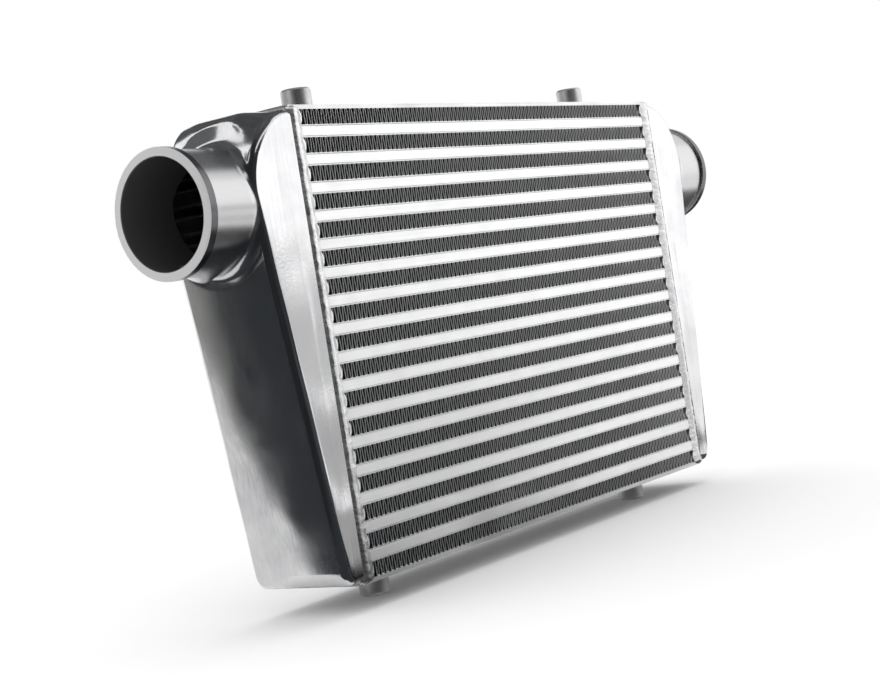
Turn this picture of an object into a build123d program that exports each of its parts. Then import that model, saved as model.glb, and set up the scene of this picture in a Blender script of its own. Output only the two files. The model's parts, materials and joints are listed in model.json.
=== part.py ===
"""Air-to-air intercooler: a brazed bar-and-plate core between two cast end tanks.

Millimetres. +X runs along the core's width, -Y is the front face, +Z is up. The origin lies
under the middle of the core, level with the feet of the two lower bosses.
"""

import os
from math import floor

from build123d import *

os.makedirs("parts", exist_ok=True)

# Core
core_width = 442.0
core_depth = 76.0
passage_count = 16
fin_height = 9.8
bar_height = 6.8
bar_depth = 8.0
bar_edge_chamfer = 0.5
sheet_thickness = 0.6
plate_thickness = 2.7

# Cooling fins, folded across the core's width and open to the front and back
fin_wave = 4.75
fin_crest = 1.2
fin_gauge = 0.25
fin_recess = 0.8
fin_end_clearance = 0.4

# Turbulators, folded across the core's depth and open to the two tanks
turbulator_wave = 5.0
turbulator_crest = 1.4
turbulator_gauge = 0.25
turbulator_recess = 3.0
turbulator_clearance = 0.3

# Closing bars at the ends of the fin rows
closing_bar_width = 9.6
closing_bar_nose = 2.0

# End tanks
tank_depth = 78.0
tank_wall = 4.0
tank_step = 2.5
tank_land = 5.0
tank_reach_top = 44.0
tank_reach_bottom = 15.0
tank_widest_height = 97.0
tank_shoulder_bulge = 11.0
tank_blend_radius = 20.0
tank_bottom_radius = 12.0
tank_edge_radius = 5.0

# Hose necks, cast in one with the tanks
neck_height = 92.4
neck_reach = 83.7
neck_radius = 38.0
neck_wall = 4.0
lip_radius = 40.0
lip_length = 7.0
lip_rounding = 1.0
mouth_rounding = 0.8
neck_blend = 7.0

# Weld beads around the seams
weld_on_core = 9.5
weld_on_tank = 1.5
weld_rise = 2.6
weld_rounding = 1.8

# Mounting bosses with M8 tapping holes
boss_spacing = 334.0
boss_radius = 10.0
boss_height = 17.0
boss_chamfer = 1.2
boss_hole_radius = 3.4
boss_hole_depth = 13.0
boss_hole_chamfer = 0.9

# Levels that follow from the sizes above
fin_row_count = passage_count + 1
passage_height = bar_height + 2 * sheet_thickness
row_pitch = fin_height + passage_height
core_height = 2 * plate_thickness + fin_row_count * fin_height + passage_count * passage_height
core_bottom = boss_height
core_top = core_bottom + core_height
core_middle = core_bottom + core_height / 2
first_fin_level = core_bottom + plate_thickness + fin_height / 2
first_passage_level = first_fin_level + row_pitch / 2
fin_levels = [first_fin_level + row * row_pitch for row in range(fin_row_count)]
passage_levels = [first_passage_level + row * row_pitch for row in range(passage_count)]
half_turn = Location((0, 0, 0), (0, 0, 180))


def folded_strip(length, height, wave, crest, gauge):
    """Outline of a folded strip seen along its folds, centred on the origin.

    The flat crests have the given width on their outer side. The walls keep the gauge along the
    strip, so the inner side of each crest is narrower than the outer side.
    """
    count = floor(length / wave + 1e-6)
    start = -count * wave / 2
    half = height / 2
    run = wave / 2 - crest
    upper = []
    lower = []
    for index in range(count):
        left = start + index * wave
        upper.append((left + run / 2, half))
        upper.append((left + run / 2 + crest, half))
        upper.append((left + wave / 2 + run / 2 + gauge, -half + gauge))
        upper.append((left + wave / 2 + run / 2 + crest - gauge, -half + gauge))
        lower.append((left + run / 2 + gauge, half - gauge))
        lower.append((left + run / 2 + crest - gauge, half - gauge))
        lower.append((left + wave / 2 + run / 2, -half))
        lower.append((left + wave / 2 + run / 2 + crest, -half))
    return upper + lower[::-1]


# One cooling fin row
with BuildPart() as fin_row:
    with BuildSketch(Plane.XZ.offset(core_depth / 2 - fin_recess)):
        with BuildLine():
            fin_room = core_width - 2 * (closing_bar_width + closing_bar_nose + fin_end_clearance)
            Polyline(*folded_strip(fin_room, fin_height, fin_wave, fin_crest, fin_gauge), close=True)
        make_face()
    extrude(amount=2 * fin_recess - core_depth)

for number, level in enumerate(fin_levels, start=1):
    with BuildPart() as cooling_fin:
        with Locations((0, 0, level)):
            add(fin_row.part)
    cooling_fin.part.label = f"cooling_fin_{number:02d}"
    export_step(cooling_fin.part, f"parts/cooling_fin_{number:02d}.step")

# Front and rear bars of every charge-air passage
for number, level in enumerate(passage_levels, start=1):
    with BuildPart(Plane.XZ.offset(core_depth / 2)) as front_bar:
        with Locations((0, level)):
            Box(core_width, bar_height, bar_depth, align=(Align.CENTER, Align.CENTER, Align.MAX))
        chamfer(front_bar.edges().filter_by(Axis.X).group_by(Axis.Y)[0], bar_edge_chamfer)
    front_bar.part.label = f"front_bar_{number:02d}"
    export_step(front_bar.part, f"parts/front_bar_{number:02d}.step")

    with BuildPart() as rear_bar:
        with Locations(half_turn):
            add(front_bar.part)
    rear_bar.part.label = f"rear_bar_{number:02d}"
    export_step(rear_bar.part, f"parts/rear_bar_{number:02d}.step")

# Parting sheets under and over every charge-air passage
sheet_offset = (bar_height + sheet_thickness) / 2
with BuildPart() as parting_sheets:
    with Locations(*[(0, 0, level + side * sheet_offset) for level in passage_levels for side in (-1, 1)]):
        Box(core_width, core_depth, sheet_thickness)
parting_sheets.part.label = "parting_sheets"
export_step(parting_sheets.part, "parts/parting_sheets.step")

# Turbulators inside the charge-air passages
with BuildPart() as turbulator:
    with BuildSketch(Plane.YZ.offset(turbulator_recess - core_width / 2)):
        with BuildLine():
            strip_room = core_depth - 2 * (bar_depth + turbulator_clearance)
            Polyline(
                *folded_strip(strip_room, bar_height, turbulator_wave, turbulator_crest, turbulator_gauge),
                close=True,
            )
        make_face()
    extrude(amount=core_width - 2 * turbulator_recess)

with BuildPart() as turbulators:
    with Locations(*[(0, 0, level) for level in passage_levels]):
        add(turbulator.part)
turbulators.part.label = "turbulators"
export_step(turbulators.part, "parts/turbulators.step")

# Closing bars: one bar at the right end of a fin row, then all of them at both ends
with BuildPart() as closing_bar:
    with BuildSketch(Plane.XZ):
        with BuildLine():
            end = core_width / 2
            shoulder = end - closing_bar_width
            half_bar = fin_height / 2
            Polyline((shoulder, half_bar), (end, half_bar), (end, -half_bar), (shoulder, -half_bar))
            ThreePointArc((shoulder, -half_bar), (shoulder - closing_bar_nose, 0), (shoulder, half_bar))
        make_face()
    extrude(amount=core_depth / 2, both=True)

with BuildPart() as closing_bars:
    with Locations(*[Location((0, 0, level), (0, 0, turn)) for level in fin_levels for turn in (0, 180)]):
        add(closing_bar.part)
closing_bars.part.label = "closing_bars"
export_step(closing_bars.part, "parts/closing_bars.step")

# Top and bottom plates of the core
with BuildPart() as bottom_plate:
    with Locations((0, 0, core_bottom)):
        Box(core_width, core_depth, plate_thickness, align=(Align.CENTER, Align.CENTER, Align.MIN))
bottom_plate.part.label = "bottom_plate"
export_step(bottom_plate.part, "parts/bottom_plate.step")

with BuildPart() as top_plate:
    with Locations((0, 0, core_top)):
        Box(core_width, core_depth, plate_thickness, align=(Align.CENTER, Align.CENTER, Align.MAX))
top_plate.part.label = "top_plate"
export_step(top_plate.part, "parts/top_plate.step")

# Left end tank
seam = -core_width / 2
tank_top = core_top - tank_step
tank_bottom = core_bottom + tank_step
widest = core_middle + tank_widest_height
neck_axis = core_middle + neck_height
neck_end = seam - neck_reach


def tank_outline(rim):
    """Side view of a tank from its rim to its outer wall, with sharp lower corners."""
    shoulder_start = (seam - tank_land, tank_top)
    shoulder_end = (seam - tank_reach_top, widest)
    lower_corner = (seam - tank_reach_bottom, tank_bottom)
    Line((rim, tank_bottom), (rim, tank_top))
    Line((rim, tank_top), shoulder_start)
    SagittaArc(shoulder_start, shoulder_end, -tank_shoulder_bulge)
    Line(shoulder_end, lower_corner)
    Line(lower_corner, (rim, tank_bottom))


def round_tank_side(side):
    """Round the shoulder, the widest point and the lower corner of a tank's side view."""
    fillet(side.vertices().sort_by(Axis.X)[0], tank_blend_radius)
    fillet(side.vertices().group_by(Axis.Y)[-1].sort_by(Axis.X)[0], tank_blend_radius)
    fillet(side.vertices().group_by(Axis.Y)[0].sort_by(Axis.X)[0], tank_bottom_radius)


with BuildPart() as tank_form:
    with BuildSketch(Plane.XZ.offset(tank_depth / 2)) as tank_side:
        with BuildLine():
            tank_outline(seam)
        make_face()
        round_tank_side(tank_side)
    extrude(amount=-tank_depth)
    rim_edges = tank_form.faces().sort_by(Axis.X)[-1].edges()
    side_edges = tank_form.edges().group_by(Axis.Y)[0] + tank_form.edges().group_by(Axis.Y)[-1]
    fillet(side_edges - rim_edges, tank_edge_radius)
    with BuildSketch(Plane.XZ) as neck_side:
        with BuildLine():
            Polyline(
                (seam - tank_land, neck_axis),
                (seam - tank_land, neck_axis + neck_radius),
                (neck_end + lip_length, neck_axis + neck_radius),
                (neck_end + lip_length, neck_axis + lip_radius),
                (neck_end, neck_axis + lip_radius),
                (neck_end, neck_axis),
                close=True,
            )
        make_face()
        fillet(neck_side.vertices().group_by(Axis.Y)[-1], lip_rounding)
    revolve(axis=Axis((seam, 0, neck_axis), (-1, 0, 0)))
    neck_root = tank_form.edges().filter_by(lambda edge: edge.geom_type not in (GeomType.LINE, GeomType.CIRCLE))
    fillet(neck_root, neck_blend)

with BuildPart() as left_tank:
    add(tank_form.part)
    with BuildSketch(Plane.XZ.offset(tank_depth / 2 - tank_wall)) as cavity_side:
        with BuildLine():
            tank_outline(seam + tank_wall)
        make_face()
        round_tank_side(cavity_side)
        offset(amount=-tank_wall, mode=Mode.REPLACE)
    extrude(amount=2 * tank_wall - tank_depth, mode=Mode.SUBTRACT)
    with BuildSketch(Plane.YZ.offset(neck_end)):
        with Locations((0, neck_axis)):
            Circle(neck_radius - neck_wall)
    extrude(amount=neck_reach - tank_land, mode=Mode.SUBTRACT)
    mouth_circles = left_tank.edges().filter_by(GeomType.CIRCLE).group_by(Axis.X)[0]
    fillet(mouth_circles.sort_by(SortBy.RADIUS)[0], mouth_rounding)
left_tank.part.label = "left_tank"
export_step(left_tank.part, "parts/left_tank.step")

# Right end tank, the same casting turned about the upright axis
with BuildPart() as right_tank:
    with Locations(half_turn):
        add(left_tank.part)
right_tank.part.label = "right_tank"
export_step(right_tank.part, "parts/right_tank.step")

# Weld beads that close the seams between the core and the tanks
with BuildPart() as left_weld:
    with BuildSketch(Plane.YZ.offset(seam - weld_on_tank)):
        with Locations((0, core_middle)):
            Rectangle(core_depth + 2 * weld_rise, core_height + 2 * weld_rise)
    extrude(amount=weld_on_tank + weld_on_core)
    fillet(left_weld.edges(), weld_rounding)
    with Locations((0, 0, core_middle)):
        Box(core_width, core_depth, core_height, mode=Mode.SUBTRACT)
    add(tank_form.part, mode=Mode.SUBTRACT)
left_weld.part.label = "left_weld"
export_step(left_weld.part, "parts/left_weld.step")

with BuildPart() as right_weld:
    with Locations(half_turn):
        add(left_weld.part)
right_weld.part.label = "right_weld"
export_step(right_weld.part, "parts/right_weld.step")

# Mounting bosses: one boss, then two on the top plate and two under the bottom plate
with BuildPart() as boss:
    Cylinder(boss_radius, boss_height, align=(Align.CENTER, Align.CENTER, Align.MIN))
    chamfer(boss.edges().group_by(Axis.Z)[-1], boss_chamfer)
    with Locations(boss.faces().sort_by(Axis.Z)[-1]):
        Hole(boss_hole_radius, depth=boss_hole_depth)
    chamfer(boss.edges().group_by(Axis.Z)[-1].sort_by(SortBy.RADIUS)[0], boss_hole_chamfer)

with BuildPart() as top_bosses:
    with Locations((-boss_spacing / 2, 0, core_top), (boss_spacing / 2, 0, core_top)):
        add(boss.part)
top_bosses.part.label = "top_bosses"
export_step(top_bosses.part, "parts/top_bosses.step")

with BuildPart(Plane.XY.offset(core_bottom).rotated((180, 0, 0))) as bottom_bosses:
    with Locations((-boss_spacing / 2, 0), (boss_spacing / 2, 0)):
        add(boss.part)
bottom_bosses.part.label = "bottom_bosses"
export_step(bottom_bosses.part, "parts/bottom_bosses.step")
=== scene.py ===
"""Dressed model of an air-to-air intercooler on a pale studio floor.

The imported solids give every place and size, in metres. The uneven castings of the tanks, the folded
fins, the weld beads and the finishes of all surfaces are made here.
"""

from __future__ import annotations

import json
import logging
import math
from collections.abc import Callable
from dataclasses import dataclass, field, replace
from enum import Enum
from functools import partial
from typing import Any, ClassVar

import bmesh
import bpy
import numpy as np
from mathutils import Matrix, Vector

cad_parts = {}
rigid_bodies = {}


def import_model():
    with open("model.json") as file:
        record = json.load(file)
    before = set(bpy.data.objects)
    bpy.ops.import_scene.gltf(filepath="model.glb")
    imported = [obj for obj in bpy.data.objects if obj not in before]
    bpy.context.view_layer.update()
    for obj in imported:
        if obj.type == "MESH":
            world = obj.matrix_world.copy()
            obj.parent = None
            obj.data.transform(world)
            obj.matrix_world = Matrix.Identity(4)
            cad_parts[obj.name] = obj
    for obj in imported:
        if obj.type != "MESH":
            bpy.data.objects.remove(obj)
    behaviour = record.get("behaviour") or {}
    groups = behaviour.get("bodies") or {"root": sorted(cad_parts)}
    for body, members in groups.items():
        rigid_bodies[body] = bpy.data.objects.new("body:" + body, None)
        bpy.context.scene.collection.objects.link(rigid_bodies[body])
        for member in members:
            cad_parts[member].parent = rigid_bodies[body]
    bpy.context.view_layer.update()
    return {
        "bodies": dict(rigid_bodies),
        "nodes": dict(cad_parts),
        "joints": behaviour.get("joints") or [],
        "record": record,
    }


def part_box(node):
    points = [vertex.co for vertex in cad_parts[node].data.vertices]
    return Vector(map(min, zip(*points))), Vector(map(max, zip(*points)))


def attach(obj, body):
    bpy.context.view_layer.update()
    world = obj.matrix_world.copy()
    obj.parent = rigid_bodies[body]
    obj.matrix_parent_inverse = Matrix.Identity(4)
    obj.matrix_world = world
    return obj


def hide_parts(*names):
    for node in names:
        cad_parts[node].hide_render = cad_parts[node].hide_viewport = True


LOG = logging.getLogger("intercooler")
MM = 0.001
ROOT = "root"

MATH = "ShaderNodeMath"
VECTOR_MATH = "ShaderNodeVectorMath"
MAP_RANGE = "ShaderNodeMapRange"
MIX = "ShaderNodeMix"
NOISE = "ShaderNodeTexNoise"
SPLIT = "ShaderNodeSeparateXYZ"

Socket = bpy.types.NodeSocket
Node = bpy.types.Node
Adder = Callable[..., Node]
Point = tuple[float, float, float]
FloorPoint = tuple[float, float]
Span = tuple[float, float]


class Axis(Enum):
    """Direction that a finish's marks follow."""

    X = (1.0, 0.0, 0.0)
    Y = (0.0, 1.0, 0.0)
    Z = (0.0, 0.0, 1.0)


class Side(Enum):
    """The two ends of the core, by the sign of X."""

    LEFT = -1
    RIGHT = 1


def linear(hex_colour: str) -> tuple[float, float, float, float]:
    """Turn an sRGB hex colour into linear values.

    Args:
        hex_colour: Six hex digits after a hash sign.

    Returns:
        Linear red, green and blue with an alpha of one.
    """
    channels = [int(hex_colour[i : i + 2], 16) / 255 for i in (1, 3, 5)]
    values = [c / 12.92 if c <= 0.04045 else ((c + 0.055) / 1.055) ** 2.4 for c in channels]
    return values[0], values[1], values[2], 1.0


def add_node(tree: bpy.types.NodeTree, kind: str, *values: Any, **named: Any) -> Node:
    """Add a node with its settings, and set or link its inputs.

    Args:
        tree: The tree that gets the node.
        kind: Blender's identifier for the node.
        values: The first inputs, in order. A node stands for its first output.
        named: Settings of the node itself by their names, and inputs by theirs, with spaces as
            underscores, or by "in" and the input's number.

    Returns:
        The new node.
    """
    node = tree.nodes.new(kind)
    inputs: dict[int | str, Any] = dict(enumerate(values))
    for name, value in named.items():
        if hasattr(node, name):
            setattr(node, name, value)
        else:
            inputs[int(name[2:]) if name[2:].isdigit() else name.replace("_", " ")] = value
    for key, value in inputs.items():
        source = value.outputs[0] if isinstance(value, Node) else value
        if isinstance(source, Socket):
            tree.links.new(source, node.inputs[key])
        else:
            node.inputs[key].default_value = source
    return node


@dataclass(frozen=True)
class Metal:
    """A metal finish: colour, gloss, and the marks that its making left.

    Streaks are long fine lines along one axis, as from brushing or extruding. Blotches are broad
    patches of duller metal. Grain is the fine unevenness of the surface. Streaks and grain that are
    too fine to show in the picture are drawn as coarse as they need to show.
    """

    name: str
    colour: str
    dull_colour: str
    roughness: float
    dull_roughness: float
    blotch_mm: float
    grain_mm: float
    grain_depth_mm: float
    streak_mm: float
    streak_length_mm: float
    streak_strength: float
    streak_axis: Axis
    blotch_detail: ClassVar[float] = 4.0
    streak_detail: ClassVar[float] = 2.0
    grain_detail: ClassVar[float] = 3.0
    wear_span: ClassVar[Span] = (0.32, 0.68)

    def build(self) -> bpy.types.Material:
        """Make the material.

        Returns:
            The new material, which reads Object coordinates.
        """
        material = bpy.data.materials.new(self.name)
        material.use_nodes = True
        tree = material.node_tree
        tree.nodes.clear()
        add = partial(add_node, tree)
        place = add("ShaderNodeTexCoord").outputs["Object"]
        ratio = self.streak_mm / self.streak_length_mm
        stretch = [ratio if along else 1.0 for along in self.streak_axis.value]
        stretched = add("ShaderNodeMapping", Vector=place, Scale=stretch)
        blotch = add(NOISE, Vector=place, Scale=1 / (self.blotch_mm * MM), Detail=self.blotch_detail)
        streak = add(NOISE, Vector=stretched, Scale=1 / (self.streak_mm * MM), Detail=self.streak_detail)
        grain = add(NOISE, Vector=place, Scale=1 / (self.grain_mm * MM), Detail=self.grain_detail)
        faint_streak = add(MATH, streak, self.streak_strength, operation="MULTIPLY")
        faint_blotch = add(MATH, blotch, 1.0 - self.streak_strength, operation="MULTIPLY")
        marks = add(MATH, faint_streak, faint_blotch, operation="ADD")
        wear = add(MAP_RANGE, marks, *self.wear_span)
        height = add(MATH, grain, faint_streak, operation="ADD")
        shader = add(
            "ShaderNodeBsdfPrincipled",
            Metallic=self._metal(add, place),
            Base_Color=self._tint(add, place, wear),
            Roughness=self._gloss(add, place, wear),
            Normal=add("ShaderNodeBump", Distance=self.grain_depth_mm * MM, Strength=1.0, Height=height),
        )
        add("ShaderNodeOutputMaterial", Surface=shader)
        return material

    def _metal(self, add: Adder, place: Socket) -> Any:
        """Share of bare metal, which is all of it."""
        return 1.0

    def _tint(self, add: Adder, place: Socket, wear: Node) -> Socket:
        """Colour of the clean and the duller metal."""
        clean, dull = linear(self.colour), linear(self.dull_colour)
        return add(MIX, data_type="RGBA", in0=wear, in6=clean, in7=dull).outputs[2]

    def _gloss(self, add: Adder, place: Socket, wear: Node) -> Node:
        """Roughness of the clean and the duller metal."""
        return add(MAP_RANGE, wear, 0.0, 1.0, self.roughness, self.dull_roughness)

    def _out(self, add: Adder, place: Socket, axis: Axis) -> Node:
        """Distance from the object's middle plane across an axis."""
        return add(MATH, add(SPLIT, place).outputs[axis.name], operation="ABSOLUTE")

    def _beyond(self, add: Adder, place: Socket, axis: Axis, span_mm: Span) -> Node:
        """Share that goes from none to all over a span of distances from the middle plane."""
        return add(MAP_RANGE, self._out(add, place, axis), *(mm * MM for mm in span_mm))


@dataclass(frozen=True)
class CastMetal(Metal):
    """Polished casting whose neck is rougher, with a painted dark reflection on the lip, a saw-cut end and a
    raw bore.

    A span in millimetres says where a change starts and where it is complete.
    """

    neck_z_mm: float = 259.4
    neck_mm: Span = (260.0, 268.0)
    neck_roughness: float = 0.26
    neck_colour: str = "#CCCCCD"
    # The lip's dark grey is a painted reflection of the dark surroundings.
    lip_reflection_mm: Span = (297.8, 298.2)
    lip_painted_reflection_colour: str = "#707072"
    cut_mm: Span = (303.7, 304.0)
    cut_colour: str = "#DCDCDD"
    cut_roughness: float = 0.75
    cut_metal: float = 0.45
    bore_radius_mm: Span = (34.4, 34.7)
    bore_start_mm: float = 224.0
    bore_colour: str = "#464647"
    bore_roughness: float = 0.7
    bore_metal: float = 0.25

    def _metal(self, add: Adder, place: Socket) -> Node:
        """Share of bare metal, less on the torn saw cut and in the sandy bore.

        Args:
            add: Adds a node to the material.
            place: Object coordinates.

        Returns:
            The share, as a node.
        """
        cut = add(MAP_RANGE, self._beyond(add, place, Axis.X, self.cut_mm), 0.0, 1.0, 1.0, self.cut_metal)
        bore = add(MAP_RANGE, self._bore(add, place), 0.0, 1.0, 1.0, self.bore_metal)
        return add(MATH, cut, bore, operation="MULTIPLY")

    def _tint(self, add: Adder, place: Socket, wear: Node) -> Socket:
        """Colour with the duller neck, the painted dark reflection on the lip, the pale saw-cut end and the
        dark bore.

        Args:
            add: Adds a node to the material.
            place: Object coordinates.
            wear: Share of duller metal.

        Returns:
            The colour's socket.
        """
        colour = super()._tint(add, place, wear)
        layers = (
            (self._beyond(add, place, Axis.X, self.neck_mm), self.neck_colour),
            (self._beyond(add, place, Axis.X, self.lip_reflection_mm), self.lip_painted_reflection_colour),
            (self._beyond(add, place, Axis.X, self.cut_mm), self.cut_colour),
            (self._bore(add, place), self.bore_colour),
        )
        for share, shade in layers:
            colour = add(MIX, data_type="RGBA", in0=share, in6=colour, in7=linear(shade)).outputs[2]
        return colour

    def _gloss(self, add: Adder, place: Socket, wear: Node) -> Node:
        """Roughness of the polished faces, the neck, its end and its bore.

        Args:
            add: Adds a node to the material.
            place: Object coordinates.
            wear: Share of duller metal.

        Returns:
            The roughness, as a node.
        """
        rough = super()._gloss(add, place, wear)
        layers = (
            (self._beyond(add, place, Axis.X, self.neck_mm), self.neck_roughness),
            (self._beyond(add, place, Axis.X, self.cut_mm), self.cut_roughness),
            (self._bore(add, place), self.bore_roughness),
        )
        for share, value in layers:
            rough = add(MIX, data_type="FLOAT", in0=share, in2=rough, in3=value)
        return rough

    def _bore(self, add: Adder, place: Socket) -> Node:
        """Share of the raw bore, which is all that lies near the neck's axis outside the core.

        Args:
            add: Adds a node to the material.
            place: Object coordinates.

        Returns:
            The share, as a node.
        """
        from_axis = add(VECTOR_MATH, place, (0.0, 0.0, self.neck_z_mm * MM), operation="SUBTRACT")
        across = add(VECTOR_MATH, from_axis, (0.0, 1.0, 1.0), operation="MULTIPLY")
        radius = add(VECTOR_MATH, across, operation="LENGTH").outputs["Value"]
        inside = add(MAP_RANGE, radius, *(mm * MM for mm in self.bore_radius_mm), 1.0, 0.0)
        out = self._out(add, place, Axis.X)
        outside_core = add(MATH, out, self.bore_start_mm * MM, operation="GREATER_THAN")
        return add(MATH, inside, outside_core, operation="MULTIPLY")


@dataclass(frozen=True)
class EdgedMetal(Metal):
    """Metal with another colour at both of its outer ends along one axis."""

    edge_axis: Axis = Axis.Y
    edge_colour: str = "#FCFCFC"
    edge_mm: Span = (36.5, 36.9)

    def _tint(self, add: Adder, place: Socket, wear: Node) -> Socket:
        """Colour of the metal, and of its two outer ends.

        Args:
            add: Adds a node to the material.
            place: Object coordinates.
            wear: Share of duller metal.

        Returns:
            The colour's socket.
        """
        edge = self._beyond(add, place, self.edge_axis, self.edge_mm)
        inner = super()._tint(add, place, wear)
        return add(MIX, data_type="RGBA", in0=edge, in6=inner, in7=linear(self.edge_colour)).outputs[2]


# Cast aluminium, ground and polished by hand: soft reflections, faint grinding lines up the faces
# and a little cast grain.
CAST_TANK = CastMetal(
    name="cast_aluminium_polished", colour="#EAEAEB", dull_colour="#D2D2D4", roughness=0.08,
    dull_roughness=0.22, blotch_mm=34.0, grain_mm=1.6, grain_depth_mm=0.014, streak_mm=1.2,
    streak_length_mm=60.0, streak_strength=0.28, streak_axis=Axis.Z,
)
# Extruded aluminium bar after brazing: satin, with fine die lines along its length. The ends inside
# the tanks are painted dark: painted shade of the dark tank insides, seen through the necks.
CORE_BAR = EdgedMetal(
    name="extruded_aluminium_bar", colour="#FCFCFC", dull_colour="#F2F2F2", roughness=0.34,
    dull_roughness=0.44, blotch_mm=18.0, grain_mm=0.9, grain_depth_mm=0.015, streak_mm=0.7,
    streak_length_mm=90.0, streak_strength=0.5, streak_axis=Axis.X, edge_axis=Axis.X,
    edge_colour="#4A4A4B", edge_mm=(220.5, 220.8),
)
# Rolled aluminium sheet after brazing: satin, faintly streaked along the roll.
CORE_SHEET = Metal(
    name="rolled_aluminium_sheet", colour="#F0F0F0", dull_colour="#DCDCDC", roughness=0.34,
    dull_roughness=0.46, blotch_mm=26.0, grain_mm=1.2, grain_depth_mm=0.012, streak_mm=1.0,
    streak_length_mm=140.0, streak_strength=0.45, streak_axis=Axis.X,
)
# Thin aluminium fin stock after brazing: matt, with painted shade from deep between the folds in its dark
# grey, and bright along the cut edges.
FIN_PAINTED_SHADE = EdgedMetal(
    name="fin_aluminium_painted_shade", colour="#606162", dull_colour="#48494A", roughness=0.45,
    dull_roughness=0.60, blotch_mm=9.0, grain_mm=0.6, grain_depth_mm=0.01, streak_mm=0.8,
    streak_length_mm=12.0, streak_strength=0.35, streak_axis=Axis.Y,
)
# Aluminium weld metal: bright and fairly glossy, with small duller patches.
WELD_BEAD = Metal(
    name="aluminium_weld_metal", colour="#F0F0F0", dull_colour="#D2D2D2", roughness=0.22,
    dull_roughness=0.34, blotch_mm=3.5, grain_mm=0.8, grain_depth_mm=0.006, streak_mm=1.4,
    streak_length_mm=4.0, streak_strength=0.3, streak_axis=Axis.Y,
)
# Turned aluminium: satin, with the fine unevenness that the tool leaves.
TURNED_BOSS = Metal(
    name="turned_aluminium", colour="#E4E4E5", dull_colour="#D0D0D2", roughness=0.42,
    dull_roughness=0.52, blotch_mm=8.0, grain_mm=0.7, grain_depth_mm=0.01, streak_mm=0.5,
    streak_length_mm=0.5, streak_strength=0.4, streak_axis=Axis.Z,
)


class NodeTool:
    """A Geometry Nodes tree with named inputs, used to make finished meshes."""

    def __init__(self, name: str, numbers: tuple[str, ...], counts: tuple[str, ...]) -> None:
        """Start the tree with its inputs.

        Args:
            name: The tree's name.
            numbers: Names of the inputs that are a length, an angle or a share.
            counts: Names of the inputs that are whole numbers.
        """
        self.tree = bpy.data.node_groups.new(name, "GeometryNodeTree")
        self.add: Adder = partial(add_node, self.tree)
        self.sockets: dict[str, str] = {}
        kinds = {"Geometry": "NodeSocketGeometry"}
        kinds |= {label: "NodeSocketFloat" for label in numbers}
        kinds |= {label: "NodeSocketInt" for label in counts}
        kinds |= {"Material": "NodeSocketMaterial"}
        for label, kind in kinds.items():
            socket = self.tree.interface.new_socket(label, in_out="INPUT", socket_type=kind)
            self.sockets[label] = socket.identifier
        self.tree.interface.new_socket("Geometry", in_out="OUTPUT", socket_type="NodeSocketGeometry")
        self.given = self.add("NodeGroupInput").outputs

    def close(self, mesh: Node) -> None:
        """End the tree: smooth faces, real geometry and the material.

        Args:
            mesh: The node that gives the finished geometry.
        """
        smooth = self.add("GeometryNodeSetShadeSmooth", mesh)
        real = self.add("GeometryNodeRealizeInstances", smooth)
        dressed = self.add("GeometryNodeSetMaterial", real, Material=self.given["Material"])
        self.add("NodeGroupOutput", dressed)

    def make(self, name: str, start: bpy.types.Mesh, material: bpy.types.Material,
             values: dict[str, Any], gauge: float = 0.0) -> bpy.types.Object:
        """Run the tree and keep its result as a plain mesh.

        Args:
            name: Name of the new piece.
            start: Geometry that the tree receives.
            material: Material of the result.
            values: Values of the named inputs.
            gauge: Sheet thickness that a Solidify modifier adds, or zero for none.

        Returns:
            A mesh object at the origin, with no modifiers.
        """
        maker = bpy.data.objects.new(name + "_maker", start)
        bpy.context.scene.collection.objects.link(maker)
        modifier = maker.modifiers.new("make", "NODES")
        modifier.node_group = self.tree
        for label, value in values.items():
            modifier[self.sockets[label]] = value
        modifier[self.sockets["Material"]] = material
        if gauge:
            wall = maker.modifiers.new("gauge", "SOLIDIFY")
            wall.thickness = gauge
            wall.offset = 0.0
        bpy.context.view_layer.update()
        evaluated = maker.evaluated_get(bpy.context.evaluated_depsgraph_get())
        mesh = bpy.data.meshes.new_from_object(evaluated)
        mesh.name = name
        bpy.data.objects.remove(maker)
        bpy.data.meshes.remove(start)
        if not mesh.materials:
            mesh.materials.append(material)
        piece = bpy.data.objects.new(name, mesh)
        bpy.context.scene.collection.objects.link(piece)
        return piece


def outward(mesh: bpy.types.Mesh, merge: float) -> None:
    """Merge doubled points and turn all faces outwards.

    Args:
        mesh: The mesh to mend.
        merge: Points nearer than this become one.
    """
    work = bmesh.new()
    work.from_mesh(mesh)
    bmesh.ops.remove_doubles(work, verts=work.verts, dist=merge)
    bmesh.ops.recalc_face_normals(work, faces=work.faces)
    work.to_mesh(mesh)
    work.free()


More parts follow.
